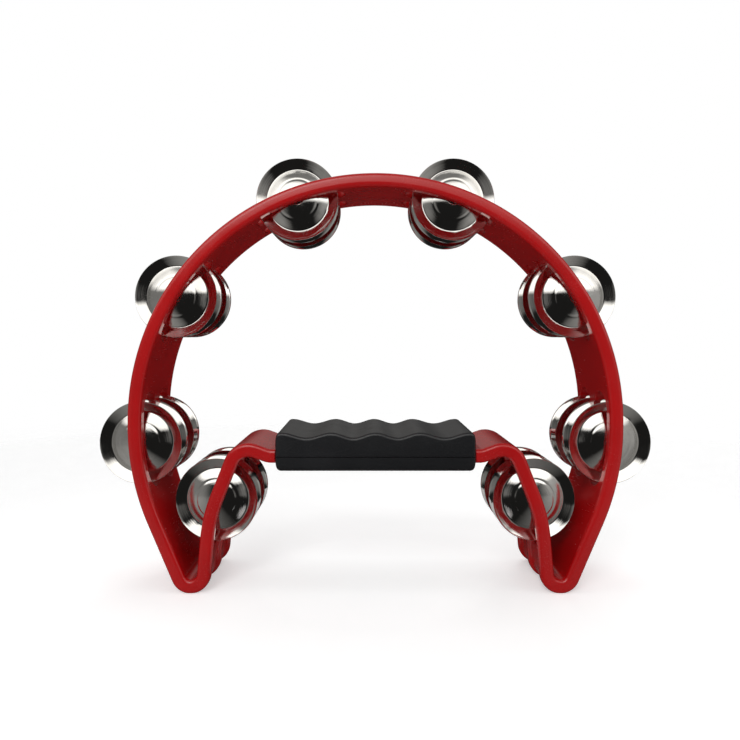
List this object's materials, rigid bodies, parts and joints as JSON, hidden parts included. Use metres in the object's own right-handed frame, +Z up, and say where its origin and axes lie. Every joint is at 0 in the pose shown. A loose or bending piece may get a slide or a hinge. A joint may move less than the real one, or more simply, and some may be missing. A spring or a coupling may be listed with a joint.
{
  "type": "half-moon tambourine",
  "caption": "Half-moon hand tambourine: an arched band with a double row of pressed steel jingle pairs on pins and a moulded finger grip across its open side.",
  "frame": {"origin": "on the surface that the two feet stand on, midway between them and midway between front and rear", "axes": "+Z up from the feet to the top of the arch, +X to the right along the grip, -Y towards the front, pins along Y"},
  "size_m": [0.2674, 0.0532, 0.2092],
  "materials": {
    "red_plastic": "glossy moulded ABS, deep red",
    "grip_rubber": "satin black moulded rubbery plastic",
    "zinc_steel": "zinc plated steel",
    "nickel_steel": "polished nickel plated pressed steel"
  },
  "bodies": {
    "frame": {"frame_band": "red_plastic", "grip_upper_shell": "grip_rubber", "grip_lower_shell": "grip_rubber", "grip_screw_left": "zinc_steel", "grip_screw_right": "zinc_steel", "pin_left_top": "zinc_steel", "pin_left_mid": "zinc_steel", "pin_left_low": "zinc_steel", "pin_left_limb": "zinc_steel", "pin_right_top": "zinc_steel", "pin_right_mid": "zinc_steel", "pin_right_low": "zinc_steel", "pin_right_limb": "zinc_steel"},
    "jingle_left_top_front_a": {"jingle_left_top_front_a": "nickel_steel"},
    "jingle_left_top_front_b": {"jingle_left_top_front_b": "nickel_steel"},
    "jingle_left_top_rear_a": {"jingle_left_top_rear_a": "nickel_steel"},
    "jingle_left_top_rear_b": {"jingle_left_top_rear_b": "nickel_steel"},
    "jingle_left_mid_front_a": {"jingle_left_mid_front_a": "nickel_steel"},
    "jingle_left_mid_front_b": {"jingle_left_mid_front_b": "nickel_steel"},
    "jingle_left_mid_rear_a": {"jingle_left_mid_rear_a": "nickel_steel"},
    "jingle_left_mid_rear_b": {"jingle_left_mid_rear_b": "nickel_steel"},
    "jingle_left_low_front_a": {"jingle_left_low_front_a": "nickel_steel"},
    "jingle_left_low_front_b": {"jingle_left_low_front_b": "nickel_steel"},
    "jingle_left_low_rear_a": {"jingle_left_low_rear_a": "nickel_steel"},
    "jingle_left_low_rear_b": {"jingle_left_low_rear_b": "nickel_steel"},
    "jingle_left_limb_front_a": {"jingle_left_limb_front_a": "nickel_steel"},
    "jingle_left_limb_front_b": {"jingle_left_limb_front_b": "nickel_steel"},
    "jingle_left_limb_rear_a": {"jingle_left_limb_rear_a": "nickel_steel"},
    "jingle_left_limb_rear_b": {"jingle_left_limb_rear_b": "nickel_steel"},
    "jingle_right_top_front_a": {"jingle_right_top_front_a": "nickel_steel"},
    "jingle_right_top_front_b": {"jingle_right_top_front_b": "nickel_steel"},
    "jingle_right_top_rear_a": {"jingle_right_top_rear_a": "nickel_steel"},
    "jingle_right_top_rear_b": {"jingle_right_top_rear_b": "nickel_steel"},
    "jingle_right_mid_front_a": {"jingle_right_mid_front_a": "nickel_steel"},
    "jingle_right_mid_front_b": {"jingle_right_mid_front_b": "nickel_steel"},
    "jingle_right_mid_rear_a": {"jingle_right_mid_rear_a": "nickel_steel"},
    "jingle_right_mid_rear_b": {"jingle_right_mid_rear_b": "nickel_steel"},
    "jingle_right_low_front_a": {"jingle_right_low_front_a": "nickel_steel"},
    "jingle_right_low_front_b": {"jingle_right_low_front_b": "nickel_steel"},
    "jingle_right_low_rear_a": {"jingle_right_low_rear_a": "nickel_steel"},
    "jingle_right_low_rear_b": {"jingle_right_low_rear_b": "nickel_steel"},
    "jingle_right_limb_front_a": {"jingle_right_limb_front_a": "nickel_steel"},
    "jingle_right_limb_front_b": {"jingle_right_limb_front_b": "nickel_steel"},
    "jingle_right_limb_rear_a": {"jingle_right_limb_rear_a": "nickel_steel"},
    "jingle_right_limb_rear_b": {"jingle_right_limb_rear_b": "nickel_steel"}
  },
  "joints": [
    {"name": "slide_left_top_front_a", "type": "slide", "parent": "frame", "child": "jingle_left_top_front_a", "axis": [0, 1, 0], "range_m": [0, 0.00245]},
    {"name": "slide_left_top_front_b", "type": "slide", "parent": "frame", "child": "jingle_left_top_front_b", "axis": [0, -1, 0], "range_m": [0, 0.00245]},
    {"name": "slide_left_top_rear_a", "type": "slide", "parent": "frame", "child": "jingle_left_top_rear_a", "axis": [0, 1, 0], "range_m": [0, 0.00245]},
    {"name": "slide_left_top_rear_b", "type": "slide", "parent": "frame", "child": "jingle_left_top_rear_b", "axis": [0, -1, 0], "range_m": [0, 0.00245]},
    {"name": "slide_left_mid_front_a", "type": "slide", "parent": "frame", "child": "jingle_left_mid_front_a", "axis": [0, 1, 0], "range_m": [0, 0.00245]},
    {"name": "slide_left_mid_front_b", "type": "slide", "parent": "frame", "child": "jingle_left_mid_front_b", "axis": [0, -1, 0], "range_m": [0, 0.00245]},
    {"name": "slide_left_mid_rear_a", "type": "slide", "parent": "frame", "child": "jingle_left_mid_rear_a", "axis": [0, 1, 0], "range_m": [0, 0.00245]},
    {"name": "slide_left_mid_rear_b", "type": "slide", "parent": "frame", "child": "jingle_left_mid_rear_b", "axis": [0, -1, 0], "range_m": [0, 0.00245]},
    {"name": "slide_left_low_front_a", "type": "slide", "parent": "frame", "child": "jingle_left_low_front_a", "axis": [0, 1, 0], "range_m": [0, 0.00245]},
    {"name": "slide_left_low_front_b", "type": "slide", "parent": "frame", "child": "jingle_left_low_front_b", "axis": [0, -1, 0], "range_m": [0, 0.00245]},
    {"name": "slide_left_low_rear_a", "type": "slide", "parent": "frame", "child": "jingle_left_low_rear_a", "axis": [0, 1, 0], "range_m": [0, 0.00245]},
    {"name": "slide_left_low_rear_b", "type": "slide", "parent": "frame", "child": "jingle_left_low_rear_b", "axis": [0, -1, 0], "range_m": [0, 0.00245]},
    {"name": "slide_left_limb_front_a", "type": "slide", "parent": "frame", "child": "jingle_left_limb_front_a", "axis": [0, 1, 0], "range_m": [0, 0.00245]},
    {"name": "slide_left_limb_front_b", "type": "slide", "parent": "frame", "child": "jingle_left_limb_front_b", "axis": [0, -1, 0], "range_m": [0, 0.00245]},
    {"name": "slide_left_limb_rear_a", "type": "slide", "parent": "frame", "child": "jingle_left_limb_rear_a", "axis": [0, 1, 0], "range_m": [0, 0.00245]},
    {"name": "slide_left_limb_rear_b", "type": "slide", "parent": "frame", "child": "jingle_left_limb_rear_b", "axis": [0, -1, 0], "range_m": [0, 0.00245]},
    {"name": "slide_right_top_front_a", "type": "slide", "parent": "frame", "child": "jingle_right_top_front_a", "axis": [0, 1, 0], "range_m": [0, 0.00245]},
    {"name": "slide_right_top_front_b", "type": "slide", "parent": "frame", "child": "jingle_right_top_front_b", "axis": [0, -1, 0], "range_m": [0, 0.00245]},
    {"name": "slide_right_top_rear_a", "type": "slide", "parent": "frame", "child": "jingle_right_top_rear_a", "axis": [0, 1, 0], "range_m": [0, 0.00245]},
    {"name": "slide_right_top_rear_b", "type": "slide", "parent": "frame", "child": "jingle_right_top_rear_b", "axis": [0, -1, 0], "range_m": [0, 0.00245]},
    {"name": "slide_right_mid_front_a", "type": "slide", "parent": "frame", "child": "jingle_right_mid_front_a", "axis": [0, 1, 0], "range_m": [0, 0.00245]},
    {"name": "slide_right_mid_front_b", "type": "slide", "parent": "frame", "child": "jingle_right_mid_front_b", "axis": [0, -1, 0], "range_m": [0, 0.00245]},
    {"name": "slide_right_mid_rear_a", "type": "slide", "parent": "frame", "child": "jingle_right_mid_rear_a", "axis": [0, 1, 0], "range_m": [0, 0.00245]},
    {"name": "slide_right_mid_rear_b", "type": "slide", "parent": "frame", "child": "jingle_right_mid_rear_b", "axis": [0, -1, 0], "range_m": [0, 0.00245]},
    {"name": "slide_right_low_front_a", "type": "slide", "parent": "frame", "child": "jingle_right_low_front_a", "axis": [0, 1, 0], "range_m": [0, 0.00245]},
    {"name": "slide_right_low_front_b", "type": "slide", "parent": "frame", "child": "jingle_right_low_front_b", "axis": [0, -1, 0], "range_m": [0, 0.00245]},
    {"name": "slide_right_low_rear_a", "type": "slide", "parent": "frame", "child": "jingle_right_low_rear_a", "axis": [0, 1, 0], "range_m": [0, 0.00245]},
    {"name": "slide_right_low_rear_b", "type": "slide", "parent": "frame", "child": "jingle_right_low_rear_b", "axis": [0, -1, 0], "range_m": [0, 0.00245]},
    {"name": "slide_right_limb_front_a", "type": "slide", "parent": "frame", "child": "jingle_right_limb_front_a", "axis": [0, 1, 0], "range_m": [0, 0.00245]},
    {"name": "slide_right_limb_front_b", "type": "slide", "parent": "frame", "child": "jingle_right_limb_front_b", "axis": [0, -1, 0], "range_m": [0, 0.00245]},
    {"name": "slide_right_limb_rear_a", "type": "slide", "parent": "frame", "child": "jingle_right_limb_rear_a", "axis": [0, 1, 0], "range_m": [0, 0.00245]},
    {"name": "slide_right_limb_rear_b", "type": "slide", "parent": "frame", "child": "jingle_right_limb_rear_b", "axis": [0, -1, 0], "range_m": [0, 0.00245]}
  ]
}
